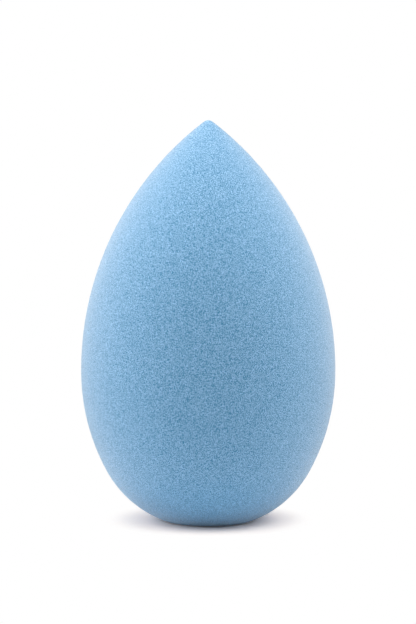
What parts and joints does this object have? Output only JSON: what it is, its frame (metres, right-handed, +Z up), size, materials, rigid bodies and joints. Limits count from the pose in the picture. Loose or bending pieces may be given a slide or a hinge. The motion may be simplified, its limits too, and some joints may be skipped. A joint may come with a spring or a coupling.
{
  "type": "makeup sponge",
  "caption": "Teardrop makeup sponge with a pointed tip, a round belly and a small flat base: a soft foam core in a thin flocked skin, for dabbing and blending make-up by hand.",
  "frame": {"origin": "centre of the flat base, on the surface that the sponge stands on", "axes": "+Z up along the sponge's axis to its tip; it is round about Z, so X and Y are free"},
  "size_m": [0.04, 0.04, 0.063],
  "materials": {
    "flock": "short dense velvet pile, light blue, matt with a pale edge sheen",
    "foam": "fine open-cell polyurethane foam, light blue, matt"
  },
  "bodies": {
    "root": {"flocked_skin": "flock", "foam_core": "foam"}
  },
  "joints": []
}
